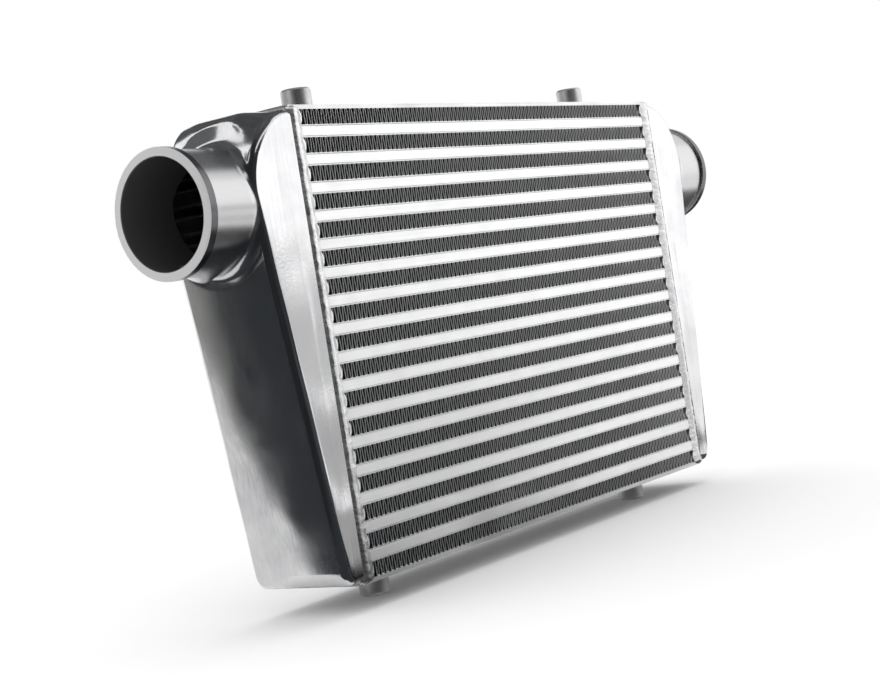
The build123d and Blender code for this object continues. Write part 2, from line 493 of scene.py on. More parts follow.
@dataclass
class CoolingFins:
    """The folded fin rows, as thin rounded folds in place of the plain ones.

    The folds stray a little along the row and lean a little. Both change over a length of two or
    three waves, so that no two folds are quite alike.
    """

    wave: float = 4.75 * MM
    gauge: float = 0.3 * MM
    fold_squareness: float = 5.0
    points_per_wave: int = 16
    points_deep: int = 5
    wander: float = 0.35 * MM
    wander_length: float = 9.0 * MM
    lean: float = 0.5 * MM
    lean_length: float = 16.0 * MM
    row_seed: float = 7.31
    lean_seed: float = 40.0
    end_power: float = 12.0
    rows: int = 17
    tool: NodeTool = field(init=False)

    def build(self, material: bpy.types.Material) -> list[bpy.types.Object]:
        """Make every fin row in the place of its solid.

        Args:
            material: The fins' finish.

        Returns:
            The finished rows.
        """
        self.tool = self._tool()
        return [self._row(number, material) for number in range(1, self.rows + 1)]

    def _row(self, number: int, material: bpy.types.Material) -> bpy.types.Object:
        """Make one row inside the box of its solid.

        Args:
            number: The row's number, from the bottom.
            material: The fins' finish.

        Returns:
            The finished row.
        """
        node = f"cooling_fin_{number:02d}"
        low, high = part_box(node)
        size = high - low
        waves = round(size.x / self.wave)
        values = {
            "Length": size.x - self.gauge,
            "Depth": size.y,
            "Height": size.z - self.gauge,
            "Waves": waves,
            "Points": waves * self.points_per_wave + 1,
            "Points Deep": self.points_deep,
            "Squareness": self.fold_squareness,
            "Wander": self.wander,
            "Lean": self.lean,
            "Row": number,
        }
        start = bpy.data.meshes.new("start")
        piece = self.tool.make(f"fin_row_{number:02d}", start, material, values, self.gauge)
        piece.data.transform(Matrix.Translation((low + high) / 2))
        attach(piece, ROOT)
        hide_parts(node)
        return piece

    def _tool(self) -> NodeTool:
        """Make the tree that folds a flat grid into a row of rounded fins.

        Returns:
            The finished tree.
        """
        numbers = ("Length", "Depth", "Height", "Squareness", "Wander", "Lean")
        tool = NodeTool("folded_fin", numbers, ("Waves", "Points", "Points Deep", "Row"))
        add, given = tool.add, tool.given
        size = (given["Length"], given["Depth"], given["Points"], given["Points Deep"])
        grid = add("GeometryNodeMeshGrid", *size)
        place = add("GeometryNodeInputPosition")

        # A sine wave along the row, pressed against its top and bottom until it is nearly square.
        share = add(MATH, add(SPLIT, place).outputs["X"], given["Length"], operation="DIVIDE")
        turns = add(MATH, share, given["Waves"], operation="MULTIPLY")
        sine = add(MATH, add(MATH, turns, 2 * math.pi, operation="MULTIPLY"), operation="SINE")
        pressed = add(MATH, sine, given["Squareness"], operation="MULTIPLY")
        highest = add(MATH, given["Squareness"], operation="TANH")
        fold = add(MATH, add(MATH, pressed, operation="TANH"), highest, operation="DIVIDE")
        half_height = add(MATH, given["Height"], 0.5, operation="MULTIPLY")
        rise = add(MATH, fold, half_height, operation="MULTIPLY")

        # Stray and lean from noise, which fade out at the two ends of the row.
        seed = add(MATH, given["Row"], self.row_seed, operation="MULTIPLY")
        other_seed = add(MATH, seed, self.lean_seed, operation="ADD")
        noise = {"noise_dimensions": "4D", "Vector": place, "Detail": 1.0}
        drift = add(NOISE, W=seed, Scale=1 / self.wander_length, **noise)
        tilt = add(NOISE, W=other_seed, Scale=1 / self.lean_length, **noise)
        from_middle = add(MATH, add(MATH, share, 2.0, operation="MULTIPLY"), operation="ABSOLUTE")
        fade = add(MATH, 1.0, add(MATH, from_middle, self.end_power, operation="POWER"), operation="SUBTRACT")
        stray = add(MATH, add(MATH, drift, 0.5, operation="SUBTRACT"), 2.0, operation="MULTIPLY")
        slope = add(MATH, add(MATH, tilt, 0.5, operation="SUBTRACT"), 2.0, operation="MULTIPLY")
        shift = add(MATH, stray, given["Wander"], operation="MULTIPLY")
        sway = add(MATH, add(MATH, slope, fold, operation="MULTIPLY"), given["Lean"], operation="MULTIPLY")
        across = add(MATH, add(MATH, shift, sway, operation="ADD"), fade, operation="MULTIPLY")
        offset = add("ShaderNodeCombineXYZ", X=across, Z=rise)
        tool.close(add("GeometryNodeSetPosition", grid, Offset=offset))
        return tool


@dataclass
class WeldBead:
    """Shape of a bead laid along a closed path.

    The crest is where across the bead it is highest, from minus one to one, and flat is the share
    of the height that is missing where the bead faces up or down. Lumps make the height uneven along
    the path, and ragged edges the width.
    """

    width: float
    rise: float
    sink: float
    lean_deg: float
    ripple: float
    ripple_depth: float
    skew: float
    wander: float
    flat: float = 0.0
    crest: float = 0.0
    step: float = 0.7 * MM
    points_around: int = 15
    merge: ClassVar[float] = 0.01 * MM
    lump_length: ClassVar[float] = 7.0 * MM
    lump_height: ClassVar[Span] = (0.76, 1.12)
    edge_length: ClassVar[float] = 3.2 * MM
    edge_width: ClassVar[Span] = (0.38, 0.60)
    crest_rounding: ClassVar[float] = 0.2
    crescent: ClassVar[float] = 0.22
    bead_seed: ClassVar[float] = 3.7
    edge_seed: ClassVar[float] = 20.0

    def lay(self, tool: NodeTool, name: str, path: list[Vector], plane: Vector,
            material: bpy.types.Material, seed: int) -> bpy.types.Object:
        """Lay the bead along a closed path.

        Args:
            tool: The bead tree.
            name: Name of the new piece.
            path: Corners of the closed path, so turned that its tangent crossed with the plane's
                axis points away from the work.
            plane: Axis of the plane that the path lies in.
            material: The bead's finish.
            seed: Number that sets this bead's unevenness.

        Returns:
            The finished bead.
        """
        start = bpy.data.meshes.new("start")
        count = len(path)
        start.from_pydata(path, [(index, (index + 1) % count) for index in range(count)], [])
        length = sum((path[index] - path[index - 1]).length for index in range(count))
        values = {
            "Width": self.width,
            "Rise": self.rise,
            "Sink": self.sink,
            "Lean": math.radians(self.lean_deg),
            "Ripple": length / round(length / self.ripple),
            "Ripple Depth": self.ripple_depth,
            "Skew": self.skew,
            "Wander": self.wander,
            "Flat": self.flat,
            "Crest": self.crest,
            "Length": length,
            "Plane X": plane.x,
            "Plane Z": plane.z,
            "Points": round(length / self.step) + 1,
            "Points Around": self.points_around,
            "Seed": seed,
        }
        piece = tool.make(name, start, material, values)
        outward(piece.data, self.merge)
        return piece

    @classmethod
    def tool(cls) -> NodeTool:
        """Make the tree that wraps a grid around a path and ripples it like a laid bead.

        Returns:
            The finished tree.
        """
        numbers = ("Width", "Rise", "Sink", "Lean", "Ripple", "Ripple Depth", "Skew", "Wander", "Flat",
                   "Crest", "Length", "Plane X", "Plane Z")
        tool = NodeTool("weld_bead", numbers, ("Points", "Points Around", "Seed"))
        add, given = tool.add, tool.given
        curve = add("GeometryNodeMeshToCurve", given["Geometry"])
        grid = add("GeometryNodeMeshGrid", 1.0, 1.0, given["Points"], given["Points Around"])
        split = add(SPLIT, add("GeometryNodeInputPosition")).outputs
        along = add(MATH, split["X"], 0.5, operation="ADD")
        point = add("GeometryNodeSampleCurve", mode="FACTOR", Curves=curve, Factor=along).outputs

        # Place around the bead: side runs across it, and lift is above or below the path.
        angle = add(MATH, add(MATH, split["Y"], 0.5, operation="ADD"), 2 * math.pi, operation="MULTIPLY")
        side = add(MATH, angle, operation="COSINE")
        lift = add(MATH, angle, operation="SINE")

        # Two straight flanks that meet in a rounded crest, and a shallow belly under the path.
        from_near = add(MATH, 1.0, side, operation="ADD")
        from_far = add(MATH, 1.0, side, operation="SUBTRACT")
        near = add(MATH, from_near, add(MATH, 1.0, given["Crest"], operation="ADD"), operation="DIVIDE")
        far = add(MATH, from_far, add(MATH, 1.0, given["Crest"], operation="SUBTRACT"), operation="DIVIDE")
        ridge = add(MATH, near, far, cls.crest_rounding, operation="SMOOTH_MIN")
        above = add(MATH, lift, 0.0, operation="GREATER_THAN")
        dome = add(MATH, add(MATH, ridge, 0.0, operation="MAXIMUM"), above, operation="MULTIPLY")
        below = add(MATH, lift, 0.0, operation="MINIMUM")
        belly = add(MATH, below, given["Sink"], operation="MULTIPLY")

        # Ripples that bow forward in the middle of the bead and slant across it.
        travel = add(MATH, along, given["Length"], operation="MULTIPLY")
        middle = add(MATH, 1.0, add(MATH, side, side, operation="MULTIPLY"), operation="SUBTRACT")
        reach = add(MATH, given["Width"], cls.crescent, operation="MULTIPLY")
        bow = add(MATH, middle, reach, operation="MULTIPLY")
        slant = add(MATH, side, given["Skew"], operation="MULTIPLY")
        front = add(MATH, travel, add(MATH, bow, slant, operation="ADD"), operation="ADD")
        phase = add(MATH, front, given["Ripple"], operation="DIVIDE")
        wave = add(MATH, add(MATH, phase, math.pi, operation="MULTIPLY"), operation="SINE")
        valley = add(MATH, 1.0, add(MATH, wave, operation="ABSOLUTE"), operation="SUBTRACT")
        dip = add(MATH, valley, given["Ripple Depth"], operation="MULTIPLY")

        # Uneven height and width along the path.
        place = point["Position"]
        seed = add(MATH, given["Seed"], cls.bead_seed, operation="MULTIPLY")
        other_seed = add(MATH, seed, cls.edge_seed, operation="ADD")
        noise = {"noise_dimensions": "4D", "Vector": place, "Detail": 1.0}
        uneven = add(NOISE, W=seed, Scale=1 / cls.lump_length, **noise)
        ragged = add(NOISE, W=other_seed, Scale=1 / cls.edge_length, **noise)
        swell = add(MAP_RANGE, uneven, 0.0, 1.0, *cls.lump_height)
        rise = add(MATH, given["Rise"], add(MATH, swell, 1.0, operation="MINIMUM"), operation="MULTIPLY")
        crest = add(MATH, rise, dip, operation="SUBTRACT")
        share = add(MAP_RANGE, ragged, 0.0, 1.0, *cls.edge_width)
        half_width = add(MATH, given["Width"], share, operation="MULTIPLY")
        spread = add(MATH, side, half_width, operation="MULTIPLY")
        off_line = add(MATH, uneven, 0.5, operation="SUBTRACT")
        stray = add(MATH, off_line, given["Wander"], operation="MULTIPLY")
        width = add(MATH, spread, stray, operation="ADD")

        # Directions in the path's plane and away from the work, and the height above the work.
        plane = add("ShaderNodeCombineXYZ", X=given["Plane X"], Z=given["Plane Z"])
        across = add(VECTOR_MATH, point["Tangent"], plane, operation="CROSS_PRODUCT")
        away = add(VECTOR_MATH, across, operation="NORMALIZE")
        level = add(MATH, add(SPLIT, away).outputs["Z"], operation="ABSOLUTE")
        missing = add(MATH, level, given["Flat"], operation="MULTIPLY")
        full = add(MATH, crest, add(MATH, 1.0, missing, operation="SUBTRACT"), operation="MULTIPLY")
        height = add(MATH, add(MATH, dome, full, operation="MULTIPLY"), belly, operation="ADD")

        # The section turned by the lean, and set on the path.
        cosine = add(MATH, given["Lean"], operation="COSINE")
        sine = add(MATH, given["Lean"], operation="SINE")
        width_on = add(MATH, width, cosine, operation="MULTIPLY")
        width_off = add(MATH, width, sine, operation="MULTIPLY")
        height_on = add(MATH, height, sine, operation="MULTIPLY")
        height_off = add(MATH, height, cosine, operation="MULTIPLY")
        on_plane = add(MATH, width_on, height_on, operation="SUBTRACT")
        off_plane = add(MATH, width_off, height_off, operation="ADD")
        first = add(VECTOR_MATH, plane, operation="SCALE", Scale=on_plane)
        second = add(VECTOR_MATH, away, operation="SCALE", Scale=off_plane)
        local = add(VECTOR_MATH, first, second, operation="ADD")
        final = add(VECTOR_MATH, place, local, operation="ADD")
        tool.close(add("GeometryNodeSetPosition", grid, Position=final))
        return tool


@dataclass
class SeamWelds:
    """The beads around the seams between the core and the tanks."""

    core_half_depth: float = 38.0 * MM
    corner_radius: float = 3.0 * MM
    corner_points: int = 6
    crest: float = -0.05
    first_seed: int = 11
    bead: WeldBead = field(default_factory=lambda: WeldBead(
        width=13.0 * MM, rise=2.55 * MM, sink=0.5 * MM, lean_deg=0.0, ripple=3.4 * MM,
        ripple_depth=0.2 * MM, skew=-4.5 * MM, wander=1.0 * MM, flat=0.75, points_around=25))

    def build(self, tool: NodeTool, material: bpy.types.Material) -> list[bpy.types.Object]:
        """Lay both beads.

        Args:
            tool: The bead tree.
            material: The weld metal.

        Returns:
            The finished beads.
        """
        return [self._bead(side, tool, material) for side in Side]

    def _bead(self, side: Side, tool: NodeTool, material: bpy.types.Material) -> bpy.types.Object:
        """Lay the bead of one seam around the core's end.

        Args:
            side: The end of the core.
            tool: The bead tree.
            material: The weld metal.

        Returns:
            The finished bead.
        """
        node = f"{side.name.lower()}_weld"
        low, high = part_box(node)
        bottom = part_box("bottom_plate")[0].z
        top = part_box("top_plate")[1].z
        path = self._path((low.x + high.x) / 2, bottom, top)
        bead = replace(self.bead, crest=side.value * self.crest)
        seed = self.first_seed + side.value
        piece = bead.lay(tool, f"{node}_bead", path, Vector(Axis.X.value), material, seed)
        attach(piece, ROOT)
        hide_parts(node)
        return piece

    def _path(self, x: float, bottom: float, top: float) -> list[Vector]:
        """Rounded rectangle around the core, down its front and up its back.

        Args:
            x: The seam's place along the core.
            bottom: Height of the core's underside.
            top: Height of the core's upper side.

        Returns:
            Points of the closed path.
        """
        half, radius = self.core_half_depth, self.corner_radius
        corners = [(-half, bottom, 180), (half, bottom, 270), (half, top, 0), (-half, top, 90)]
        path = []
        for y, z, start in corners:
            centre_y = y - math.copysign(radius, y)
            centre_z = z + (radius if z == bottom else -radius)
            for step in range(self.corner_points + 1):
                angle = math.radians(start + 90 * step / self.corner_points)
                out_y, out_z = radius * math.cos(angle), radius * math.sin(angle)
                path.append(Vector((x, centre_y + out_y, centre_z + out_z)))
        return path


@dataclass
class BossWelds:
    """The small beads that hold the four turned bosses to the plates."""

    spacing: float = 334.0 * MM
    radius: float = 10.0 * MM
    path_points: int = 48
    first_seed: int = 31
    bead: WeldBead = field(default_factory=lambda: WeldBead(
        width=4.4 * MM, rise=1.0 * MM, sink=1.6 * MM, lean_deg=-45.0, ripple=2.4 * MM,
        ripple_depth=0.3 * MM, skew=0.6 * MM, wander=0.4 * MM, step=0.5 * MM, points_around=11))

    def build(self, tool: NodeTool, material: bpy.types.Material) -> list[bpy.types.Object]:
        """Lay the bead around each boss.

        Args:
            tool: The bead tree.
            material: The weld metal.

        Returns:
            The finished beads.
        """
        levels = {"top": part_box("top_plate")[1].z, "bottom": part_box("bottom_plate")[0].z}
        pieces = []
        for number, (level, side) in enumerate((level, side) for level in levels for side in Side):
            up = 1.0 if level == "top" else -1.0
            centre = Vector((side.value * self.spacing / 2, 0.0, levels[level]))
            turns = [up * 2 * math.pi * index / self.path_points for index in range(self.path_points)]
            path = [centre + self._ring(turn) for turn in turns]
            name = f"{level}_{side.name.lower()}_boss_weld"
            seed = self.first_seed + number
            piece = self.bead.lay(tool, name, path, up * Vector(Axis.Z.value), material, seed)
            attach(piece, ROOT)
            pieces.append(piece)
        return pieces

    def _ring(self, angle: float) -> Vector:
        """Point on the circle where the boss meets its plate."""
        return Vector((math.cos(angle), math.sin(angle), 0.0)) * self.radius


def ease(value: np.ndarray, start: float, end: float) -> np.ndarray:
    """Smooth step from zero at the start to one at the end."""
    share = np.clip((value - start) / (end - start), 0.0, 1.0)
    return share * share * (3.0 - 2.0 * share)


# How a triangle is cut when one, two or all of its edges are halved. Corners are 0 to 2, and 3 to 5
# are the middles of the edges after them.
SPLITS = {
    (True, False, False): ((0, 3, 2), (3, 1, 2)),
    (True, True, False): ((3, 1, 4), (0, 3, 4), (0, 4, 2)),
    (True, True, True): ((0, 3, 5), (3, 1, 4), (5, 4, 2), (3, 4, 5)),
}


@dataclass
class CastTanks:
    """The two cast end tanks, with the uneven form that hand finishing leaves on a casting.

    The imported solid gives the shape. A smooth field then moves its points: the shoulder is squarer
    behind its front crease, the foot hangs a little below the core, the flat faces are crowned, and
    the underside of the neck carries a lump of cast metal. Lengths are in metres, in the left
    tank's place. A span says where a change starts and where it is complete.
    """

    facet: float = 4.5 * MM
    splits: int = 8
    merge_digits: int = 7
    least_normal: float = 1e-9
    probe: float = 0.02 * MM
    seam_x: float = -221.0 * MM
    seam_span: Span = (3.0 * MM, 12.0 * MM)
    half_depth: float = 39.0 * MM
    neck_z: float = 259.4 * MM
    neck_span: Span = (40.5 * MM, 50.0 * MM)
    shoulder_x: float = -213.2 * MM
    shoulder_z: float = 264.0 * MM
    shoulder_least_radius: float = 1.0 * MM
    shoulder_rise: float = 6.6 * MM
    shoulder_deg: tuple[float, float, float] = (34.0, 62.0, 82.0)
    shoulder_front: Span = (-38.0 * MM, -10.0 * MM)
    shoulder_back: Span = (20.0 * MM, 39.0 * MM)
    shoulder_fall: float = 0.3
    foot: float = 2.6 * MM
    foot_span: Span = (20.0 * MM, 60.0 * MM)
    face_crown: float = 1.6 * MM
    face_bottom: Span = (22.0 * MM, 70.0 * MM)
    face_top: Span = (255.0 * MM, 300.0 * MM)
    side_crown: float = 0.4 * MM
    side_gap: float = 3.0 * MM
    side_width: float = 30.0 * MM
    side_span: Span = (24.0 * MM, 39.0 * MM)
    lump: float = 5.5 * MM
    lump_place: Point = (-274.0 * MM, 6.0 * MM, 221.0 * MM)
    lump_size: Point = (9.0 * MM, 12.0 * MM, 7.0 * MM)
    wave: float = 0.05 * MM
    wave_length: float = 45.0 * MM
    wave_spread: Span = (0.6, 1.4)
    wave_count: int = 7
    wave_seed: int = 7
    wave_span: Span = (-296.0 * MM, -286.0 * MM)

    def build(self, material: bpy.types.Material) -> list[bpy.types.Object]:
        """Make both tanks in the place of their solids.

        Args:
            material: The tanks' finish.

        Returns:
            The finished tanks.
        """
        return [self._tank(side, material) for side in Side]

    def _tank(self, side: Side, material: bpy.types.Material) -> bpy.types.Object:
        """Make one tank; the right one is worked as the left one's mirror image.

        Args:
            side: The tank's end of the core.
            material: The tanks' finish.

        Returns:
            The finished tank.
        """
        node = f"{side.name.lower()}_tank"
        points, triangles, normals = self._dense(bpy.data.objects[node].data)
        mirror = np.array([-side.value, 1.0, 1.0])
        points = points * mirror
        turns = np.linalg.inv(np.eye(3) + self._gradient(points)).transpose(0, 2, 1)
        moved = (points + self._shift(points)) * mirror
        normals = np.einsum("nij,nj->ni", turns[triangles.ravel()], normals * mirror) * mirror
        normals /= np.linalg.norm(normals, axis=1, keepdims=True)
        mesh = bpy.data.meshes.new(f"{node}_casting")
        mesh.from_pydata(moved.tolist(), [], triangles.tolist())
        mesh.materials.append(material)
        mesh.shade_smooth()
        mesh.normals_split_custom_set(normals.tolist())
        piece = bpy.data.objects.new(mesh.name, mesh)
        bpy.context.scene.collection.objects.link(piece)
        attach(piece, ROOT)
        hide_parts(node)
        return piece

    @staticmethod
    def _read(items: Any, name: str) -> np.ndarray:
        """Read one vector of each item in a collection.

        Args:
            items: A mesh's vertices or normals.
            name: The property that holds the vector.

        Returns:
            Rows of three numbers.
        """
        values = np.empty(len(items) * 3, dtype=np.float32)
        items.foreach_get(name, values)
        return values.reshape(-1, 3).astype(np.float64)

    def _dense(self, solid: bpy.types.Mesh) -> tuple[np.ndarray, np.ndarray, np.ndarray]:
        """Split a solid's triangles until their edges are short.

        Args:
            solid: The solid's mesh, which is left as it is.

        Returns:
            Points, triangles and one normal for each corner of each triangle.
        """
        loose = np.round(self._read(solid.vertices, "co"), self.merge_digits)
        points, first = np.unique(loose, axis=0, return_inverse=True)
        corners = np.empty(len(solid.loops), dtype=np.int64)
        solid.loops.foreach_get("vertex_index", corners)
        triangles = first.ravel()[corners].reshape(-1, 3)
        normals = self._read(solid.corner_normals, "vector").reshape(-1, 3, 3)
        for _ in range(self.splits):
            points, triangles, normals = self._split(points, triangles, normals)
        return points, triangles, normals.reshape(-1, 3)

    def _split(self, points: np.ndarray, triangles: np.ndarray,
               normals: np.ndarray) -> tuple[np.ndarray, np.ndarray, np.ndarray]:
        """Halve every edge that is longer than a facet, and cut the triangles beside it to match.

        Args:
            points: Places of the points.
            triangles: Three point numbers for each triangle.
            normals: Three normals for each triangle.

        Returns:
            The new points, triangles and normals.
        """
        sides = np.sort(np.stack([triangles, np.roll(triangles, -1, axis=1)], axis=2), axis=2)
        edges, number = np.unique(sides.reshape(-1, 2), axis=0, return_inverse=True)
        number = number.reshape(-1, 3)
        ends = points[edges]
        long = np.linalg.norm(ends[:, 1] - ends[:, 0], axis=1) > self.facet
        middle = np.where(long, len(points) + np.cumsum(long) - 1, -1)
        points = np.concatenate([points, ends[long].mean(axis=1)])
        marked = long[number]
        whole = ~marked.any(axis=1)
        new_triangles, new_normals = [triangles[whole]], [normals[whole]]
        for pattern, pieces in SPLITS.items():
            for turn in range(1 if all(pattern) else 3):
                chosen = (marked == np.roll(pattern, turn)).all(axis=1)
                order = np.roll(np.arange(3), -turn)
                halved = middle[number[chosen][:, order]]
                corner = np.concatenate([triangles[chosen][:, order], halved], axis=1)
                ways = normals[chosen][:, order]
                between = ways + np.roll(ways, -1, axis=1)
                between /= np.maximum(np.linalg.norm(between, axis=2, keepdims=True), self.least_normal)
                ways = np.concatenate([ways, between], axis=1)
                for piece in pieces:
                    new_triangles.append(corner[:, piece])
                    new_normals.append(ways[:, piece])
        return points, np.concatenate(new_triangles), np.concatenate(new_normals)

    def _gradient(self, points: np.ndarray) -> np.ndarray:
        """Measure how the field's shift changes along each axis.

        Args:
            points: Places of the points.

        Returns:
            A matrix for each point.
        """
        columns = []
        for step in np.eye(3) * self.probe:
            change = self._shift(points + step) - self._shift(points - step)
            columns.append(change / (2 * self.probe))
        return np.stack(columns, axis=2)

    def _shift(self, points: np.ndarray) -> np.ndarray:
        """Work out how the field moves each point.

        Args:
            points: Places of the points.

        Returns:
            The shift of each point.
        """
        x, y, z = points.T
        off_neck = ease(np.hypot(y, z - self.neck_z), *self.neck_span)
        off_seam = ease(self.seam_x - x, *self.seam_span)
        shift = np.zeros_like(points)
        shift += self._shoulder(x, y, z) * off_neck[:, None]
        shift[:, 0] -= self._face(y, z) * off_neck * off_seam
        shift[:, 1] += self._sides(x, y) * off_seam
        shift[:, 2] -= self.lump * self._lump(points)
        shift[:, 2] -= self.foot * (1.0 - ease(z, *self.foot_span)) * off_seam
        shift += self._waves(points) * (off_seam * ease(x, *self.wave_span))[:, None]
        return shift

    def _shoulder(self, x: np.ndarray, y: np.ndarray, z: np.ndarray) -> np.ndarray:
        """Square the shoulder behind the front crease.

        Args:
            x: The points' places along the core.
            y: Their places from front to back.
            z: Their heights.

        Returns:
            The outward shift of each point.
        """
        across, up = x - self.shoulder_x, z - self.shoulder_z
        angle = np.degrees(np.arctan2(up, -across))
        first, peak, last = self.shoulder_deg
        hill = ease(angle, first, peak) * (1.0 - ease(angle, peak, last))
        fall = 1.0 - self.shoulder_fall * ease(y, *self.shoulder_back)
        depth = ease(y, *self.shoulder_front) * fall
        radius = np.maximum(np.hypot(across, up), self.shoulder_least_radius)
        amount = self.shoulder_rise * hill * depth / radius
        return np.stack([across * amount, np.zeros_like(x), up * amount], axis=1)

    def _face(self, y: np.ndarray, z: np.ndarray) -> np.ndarray:
        """Crown of the outer face."""
        height = ease(z, *self.face_bottom) * (1.0 - ease(z, *self.face_top))
        return self.face_crown * (1.0 - (y / self.half_depth) ** 2) * height

    def _sides(self, x: np.ndarray, y: np.ndarray) -> np.ndarray:
        """Crown of the front and back faces."""
        share = np.clip((self.seam_x - self.side_gap - x) / self.side_width, 0.0, 1.0)
        return self.side_crown * np.sin(np.pi * share) * np.sign(y) * ease(np.abs(y), *self.side_span)

    def _lump(self, points: np.ndarray) -> np.ndarray:
        """Soft lump of metal under the neck."""
        away = (points - np.array(self.lump_place)) / np.array(self.lump_size)
        return np.exp(-np.sum(away * away, axis=1))

    def _waves(self, points: np.ndarray) -> np.ndarray:
        """Make the gentle unevenness of hand-finished faces, as a few crossing waves.

        Args:
            points: Places of the points.

        Returns:
            The shift of each point.
        """
        draw = np.random.default_rng(self.wave_seed)
        shift = np.zeros_like(points)
        for _ in range(self.wave_count):
            run = draw.normal(size=3)
            run *= 2 * math.pi / (self.wave_length * draw.uniform(*self.wave_spread)) / np.linalg.norm(run)
            push = draw.normal(size=3)
            push *= self.wave / np.linalg.norm(push)
            shift += np.sin(points @ run + draw.uniform(0, 2 * math.pi))[:, None] * push
        return shift


@dataclass
class Solids:
    """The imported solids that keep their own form, and the finish of each."""

    finishes: dict[str, Metal] = field(default_factory=lambda: {
        "cast_tank": CAST_TANK, "core_bar": CORE_BAR, "core_sheet": CORE_SHEET, "brazed_fin": FIN_PAINTED_SHADE,
        "weld_bead": WELD_BEAD, "turned_boss": TURNED_BOSS})
    materials: dict[str, bpy.types.Material] = field(default_factory=dict)

    def dress(self, frame: dict[str, Any]) -> None:
        """Make every finish and put it on the solids of its slot.
        """
        self.materials = {slot: metal.build() for slot, metal in self.finishes.items()}
        for row in frame["record"]["subparts"]:
            slots = frame["nodes"][row["node"]].data.materials
            for index in range(len(slots)):
                slots[index] = self.materials[row["material_slot"]]
            LOG.info("dressed %s in %s", row["node"], row["material_slot"])


@dataclass(frozen=True)
class Card:
    """A flat card beside the object, which only the metal mirrors, as in a photo studio."""

    name: str
    colour: str
    corners: tuple[Point, ...]
    strength: float = 1.0

    @classmethod
    def level(cls, name: str, colour: str, height: float, outline: tuple[FloorPoint, ...],
              strength: float = 1.0) -> Card:
        """Card that lies level, with its outline seen from above."""
        return cls(name, colour, tuple((x, y, height) for x, y in outline), strength)

    @classmethod
    def wall(cls, name: str, colour: str, start: FloorPoint, end: FloorPoint, heights: Span,
             strength: float = 1.0) -> Card:
        """Card that stands upright from one place on the floor to another."""
        low, high = heights
        return cls(name, colour, ((*start, low), (*end, low), (*end, high), (*start, high)), strength)


# Dark cards on the floor and dark flags around the object give the polished tanks their contrast.
# Softboxes overhead and at the right give the bright bands. All are given in metres.
CARDS = (
    Card.level("left_floor_card", "#323538", 0.002, (
        (-0.295, 0.045), (-0.318, 0.07), (-0.43, 0.19), (-0.51, 0.30), (-0.60, 0.41), (-0.745, 0.575),
        (-1.13, 0.98), (-1.6, 1.45), (-2.2, 1.0), (-1.75, -0.55), (-0.9, -0.9), (-0.20, -0.36),
        (-0.20, -0.05), (-0.245, -0.045))),
    Card.level("back_left_floor_card", "#70706C", 0.003, (
        (-0.51, 0.30), (-0.60, 0.41), (-0.745, 0.575), (-1.13, 0.98), (-1.6, 1.45), (-1.3, 1.8),
        (-0.78, 0.72), (-0.53, 0.35))),
    Card.level("tank_foot_card", "#E4E4E4", 0.002, (
        (-0.235, 0.03), (-0.32, 0.066), (-0.43, 0.19), (-0.53, 0.35), (-0.78, 0.72), (-0.65, 0.95),
        (-0.35, 0.50), (-0.22, 0.16))),
    Card.level("front_floor_card", "#484A4C", 0.002, (
        (-0.26, -0.36), (-0.9, -0.9), (-0.9, -1.7), (0.68, -1.95), (0.22, -0.94), (-0.05, -0.40))),
    Card("camera_flag", "#26282A", (
        (-0.37, 0.0, 0.0), (-0.75, -1.6, 0.0), (-0.75, -1.6, 1.6), (-0.37, 0.0, 0.6))),
    Card.wall("front_flag", "#2E3032", (-0.75, -1.6), (0.68, -2.05), (0.0, 1.6)),
    Card.wall("left_flag", "#303234", (-1.5, 0.5), (-1.144, 1.053), (0.0, 0.6)),
    Card.wall("back_left_flag", "#9A9A98", (-1.144, 1.053), (-0.6, 1.9), (0.0, 1.0)),
    Card.level("overhead_front_flag", "#3A3C3E", 1.3, (
        (-1.0, -0.9), (0.15, -0.9), (0.15, 0.6), (-0.25, 0.6), (-0.40, 0.40), (-1.0, 0.40))),
    Card.level("overhead_back_flag", "#565859", 1.32, (
        (-0.33, 0.6), (1.3, 0.6), (1.3, 2.6), (-0.33, 2.6))),
    Card.level("overhead_left_flag", "#606264", 1.3, (
        (-1.6, 0.45), (-0.64, 0.45), (-0.64, 2.0), (-1.6, 2.0))),
    Card.level("overhead_softbox", "#FFFFFF", 1.29, (
        (-0.70, 0.55), (-0.60, 0.55), (-0.60, 0.70), (-0.50, 0.88), (-0.36, 1.0), (-0.45, 2.0),
        (-1.2, 2.0), (-1.4, 1.6), (-1.12, 1.22), (-0.74, 1.0)), 1.1),
    Card.level("overhead_middle_flag", "#484A4C", 1.31, (
        (-0.64, 0.40), (-0.25, 0.40), (-0.25, 1.2), (-0.64, 1.2))),
    Card.level("overhead_right_flag", "#4C4E50", 1.3, (
        (0.15, -0.4), (1.05, -0.4), (1.05, 1.1), (0.15, 1.1))),
    # The two dark cards next lie in front of and under the object, where its shadow falls: painted shadow,
    # which only the metal mirrors.
    Card.level("front_shadow_card", "#222222", 0.003, (
        (-0.20, -0.05), (0.10, -0.05), (0.20, -0.36), (-0.20, -0.40))),
    Card.level("under_shadow_card", "#565656", 0.002, (
        (-0.212, -0.10), (0.30, -0.10), (0.30, 0.06), (-0.212, 0.06))),
    Card.level("right_neck_card", "#4A4A4A", 0.002, (
        (0.45, -0.25), (0.95, -0.25), (0.95, 0.25), (0.45, 0.25))),
    Card.wall("near_low_wall", "#ACACAC", (-0.08, -0.32), (-0.08, -0.06), (0.0, 0.045)),
    Card.wall("far_low_wall", "#B8B8B8", (0.34, -0.66), (0.34, -0.25), (0.0, 0.085)),
    Card.wall("back_low_wall", "#C8C8C8", (1.2, -2.8), (2.47, -1.80), (0.0, 0.30)),
    Card.wall("front_softbox", "#FFFFFF", (1.2, -2.75), (4.0, -0.6), (0.30, 2.4), 1.35),
    Card.wall("right_softbox", "#FFFFFF", (2.47, -1.77), (4.0, -0.6), (0.0, 0.30), 1.3),
)


